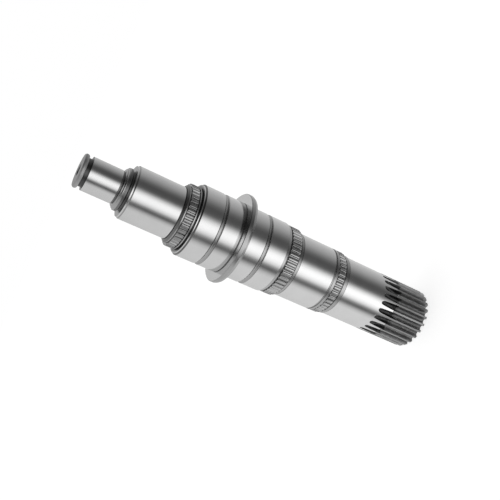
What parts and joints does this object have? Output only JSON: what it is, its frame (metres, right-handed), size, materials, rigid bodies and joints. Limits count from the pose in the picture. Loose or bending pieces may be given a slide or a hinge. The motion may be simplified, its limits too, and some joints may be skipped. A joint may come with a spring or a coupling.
{
  "type": "transmission main shaft",
  "caption": "Stepped steel gearbox main shaft with a thrust collar, ground gear journals, toothed hub rings, a toothed output end and a pilot journal.",
  "frame": {"origin": "centre of the toothed output end's flat face, on the shaft's axis", "axes": "+Z along the axis towards the small pilot end, -Y through the middle of one tooth of the output toothing"},
  "size_m": [0.0696, 0.0696, 0.286],
  "materials": {
    "ground_steel": "hardened steel, journals and collar ground bright with fine rings round the axis, teeth and end faces left as cut"
  },
  "bodies": {
    "root": {"main_shaft": "ground_steel"}
  },
  "joints": []
}
